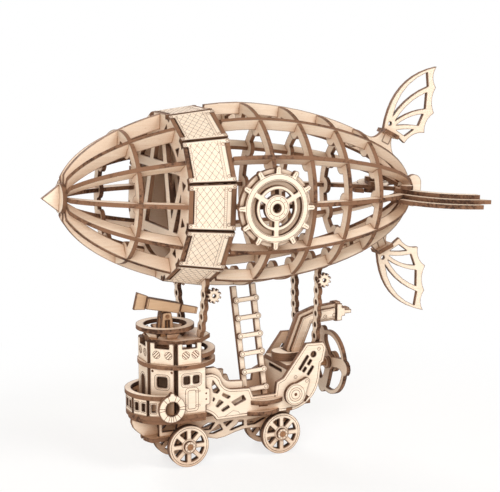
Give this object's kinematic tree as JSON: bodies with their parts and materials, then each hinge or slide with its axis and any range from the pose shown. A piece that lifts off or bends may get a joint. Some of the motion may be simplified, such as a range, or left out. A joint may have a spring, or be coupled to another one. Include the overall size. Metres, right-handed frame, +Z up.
{
  "type": "airship model",
  "caption": "Display model of a ribbed airship in laser-cut plywood, its hull hung over a wheeled boat-shaped gondola with tower, telescope, ladder and stern screw",
  "frame": {"origin": "on the ground under the middle of the bounding box", "axes": "+X aft toward the tail, -X nose, +Y starboard, -Y port, +Z up"},
  "size_m": [0.2098, 0.1, 0.1862],
  "materials": {
    "birch_ply": "raw laser-cut birch plywood, pale faces and burnt brown edges",
    "birch_dowel": "raw birch dowel"
  },
  "bodies": {
    "airship": {"nose_plate": "birch_ply", "nose_disc": "birch_ply", "front_longerons": "birch_ply", "front_former": "birch_ply", "front_bulkhead": "birch_ply", "rear_bulkhead": "birch_ply", "band_panels": "birch_ply", "rear_longerons": "birch_ply", "post_longerons": "birch_ply", "rear_former_1": "birch_ply", "rear_former_2": "birch_ply", "rear_former_3": "birch_ply", "rear_former_4": "birch_ply", "tail_disc": "birch_ply", "tail_post": "birch_ply", "fins": "birch_ply", "fin_collars": "birch_ply", "tail_wings": "birch_ply", "wing_strips": "birch_ply", "wing_clamps": "birch_ply", "medallions": "birch_ply", "medallion_backs": "birch_ply", "floor_plate": "birch_ply", "bow_deck": "birch_ply", "bow_keel": "birch_ply", "bow_rib": "birch_ply", "chassis_plates": "birch_ply", "lower_walls": "birch_ply", "balcony_plate": "birch_ply", "gallery_rail": "birch_ply", "upper_walls": "birch_ply", "roof_plate": "birch_ply", "nest_brackets": "birch_ply", "nest_ring": "birch_ply", "scope_stand": "birch_ply", "rail_panels": "birch_ply", "bow_rail": "birch_ply", "lifebuoy": "birch_ply", "port_side": "birch_ply", "starboard_side": "birch_ply", "gunwales": "birch_ply", "footboards": "birch_ply", "side_covers": "birch_ply", "seat_plates": "birch_ply", "gun_layers": "birch_ply", "gun_muzzle": "birch_ply", "stern_frame": "birch_ply", "ladder_rails": "birch_ply", "ladder_rungs": "birch_ply", "hangers": "birch_ply", "hanger_gears": "birch_ply"},
    "front_axle_set": {"front_axle": "birch_dowel", "front_wheels": "birch_ply"},
    "rear_axle_set": {"rear_axle": "birch_dowel", "rear_wheels": "birch_ply"},
    "screw_set": {"screw": "birch_ply", "screw_shaft": "birch_dowel"},
    "telescope_set": {"telescope": "birch_ply", "scope_pin": "birch_dowel"}
  },
  "joints": [
    {"name": "front_axle_spin", "type": "hinge", "parent": "airship", "child": "front_axle_set", "pos_m": [-0.0386, 0, 0.0102], "axis": [0, 1, 0], "continuous": true},
    {"name": "rear_axle_spin", "type": "hinge", "parent": "airship", "child": "rear_axle_set", "pos_m": [0.0104, 0, 0.0102], "axis": [0, 1, 0], "continuous": true},
    {"name": "screw_spin", "type": "hinge", "parent": "airship", "child": "screw_set", "pos_m": [0.0283, 0, 0.04], "axis": [1, 0, 0], "continuous": true},
    {"name": "telescope_tilt", "type": "hinge", "parent": "airship", "child": "telescope_set", "pos_m": [-0.0458, 0, 0.0727], "axis": [0, 1, 0], "range_deg": [-25, 10]}
  ]
}
